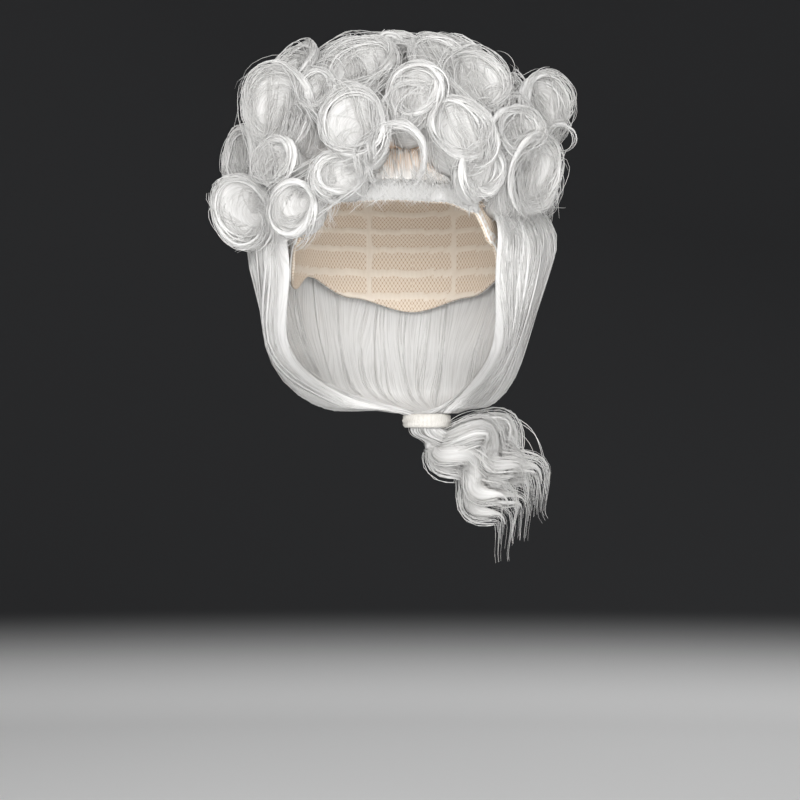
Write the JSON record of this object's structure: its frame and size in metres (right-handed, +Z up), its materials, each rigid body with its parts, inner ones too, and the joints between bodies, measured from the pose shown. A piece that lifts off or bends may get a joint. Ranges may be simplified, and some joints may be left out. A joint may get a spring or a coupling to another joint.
{
  "type": "judge wig",
  "caption": "White curled wig on an open net cap: ringed curls over the crown, hair drawn smooth over the ears and tied at the nape into a curled queue.",
  "frame": {"origin": "inside of the cap's top, where the crown of the wearer's head bears on it", "axes": "+Z up, the face opening towards -Y, +X towards the wearer's left"},
  "size_m": [0.2338, 0.2454, 0.3658],
  "materials": {
    "hair": "glossy fine synthetic fibre",
    "net": "matt woven net",
    "elastic": "matt lace elastic"
  },
  "bodies": {
    "root": {"cap_middle": "net", "cap_left": "net", "cap_right": "net", "edge_band": "elastic", "temple_tab": "net", "tie_band": "elastic", "wefts": "hair", "fringe": "hair", "curl_01": "hair", "curl_02": "hair", "curl_03": "hair", "curl_04": "hair", "curl_05": "hair", "curl_06": "hair", "curl_07": "hair", "curl_08": "hair", "curl_09": "hair", "curl_10": "hair", "curl_11": "hair", "curl_12": "hair", "curl_13": "hair", "curl_14": "hair", "curl_15": "hair", "curl_16": "hair", "curl_17": "hair", "curl_18": "hair", "curl_19": "hair", "curl_20": "hair", "curl_21": "hair", "curl_22": "hair", "curl_23": "hair", "curl_24": "hair", "curl_25": "hair", "curl_26": "hair", "curl_27": "hair", "curl_28": "hair", "curl_29": "hair", "curl_30": "hair", "curl_31": "hair", "curl_32": "hair", "curl_33": "hair", "curl_34": "hair", "curl_35": "hair", "curl_36": "hair", "curl_37": "hair", "curl_38": "hair", "side_hair_left": "hair", "side_hair_right": "hair", "back_hair": "hair", "queue": "hair"}
  },
  "joints": []
}
